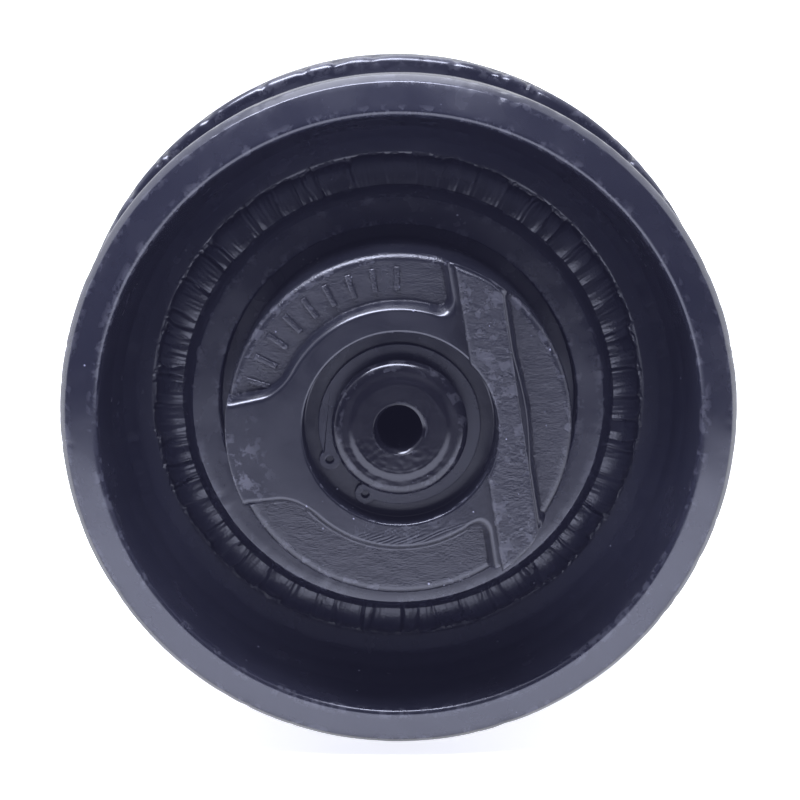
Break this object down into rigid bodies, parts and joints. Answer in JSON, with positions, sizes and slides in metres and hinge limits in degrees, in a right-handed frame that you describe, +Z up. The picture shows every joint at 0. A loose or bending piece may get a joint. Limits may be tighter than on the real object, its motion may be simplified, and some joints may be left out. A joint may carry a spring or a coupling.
{
  "type": "track roller",
  "caption": "Triple-flange bottom roller for a crawler track: dished outer flanges and a centre flange on a hub tube, turning on a fixed shaft with keyed end collars.",
  "frame": {"origin": "on the axle at the roller's mid-width, which is the centre of its bounding box", "axes": "+Y along the axle towards the rear collar, +Z up, visible front end towards -Y"},
  "size_m": [0.239, 0.237, 0.239],
  "materials": {
    "shell_paint": "blue-black satin enamel over welded steel",
    "cast_paint": "blue-black satin enamel over cast and machined iron",
    "shaft_paint": "blue-black satin enamel over a turned steel end",
    "ring_paint": "blue-black enamel over spring steel",
    "plug_steel": "plain turned steel",
    "seal_iron": "lapped hard iron",
    "seal_rubber": "black nitrile rubber",
    "bushing_bronze": "turned bronze"
  },
  "bodies": {
    "fixed_axle": {"shaft": "shaft_paint", "oil_plug": "plug_steel", "collar_front": "cast_paint", "collar_rear": "cast_paint", "retaining_ring_front": "ring_paint", "retaining_ring_rear": "ring_paint", "collar_o_ring_front": "seal_rubber", "collar_o_ring_rear": "seal_rubber", "fixed_seal_ring_front": "seal_iron", "fixed_seal_ring_rear": "seal_iron", "fixed_toric_front": "seal_rubber", "fixed_toric_rear": "seal_rubber"},
    "roller_shell": {"rotating_seal_ring_front": "seal_iron", "rotating_seal_ring_rear": "seal_iron", "rotating_toric_front": "seal_rubber", "rotating_toric_rear": "seal_rubber", "bushing_front": "bushing_bronze", "bushing_rear": "bushing_bronze", "hub_tube": "shell_paint", "outer_flange_front": "shell_paint", "outer_flange_rear": "shell_paint", "centre_flange": "shell_paint", "flange_weld_front": "shell_paint", "flange_weld_rear": "shell_paint", "centre_weld_front": "shell_paint", "centre_weld_rear": "shell_paint"}
  },
  "joints": [
    {"name": "shell_spin", "type": "hinge", "parent": "fixed_axle", "child": "roller_shell", "pos_m": [0, 0, 0], "axis": [0, 1, 0], "continuous": true}
  ]
}
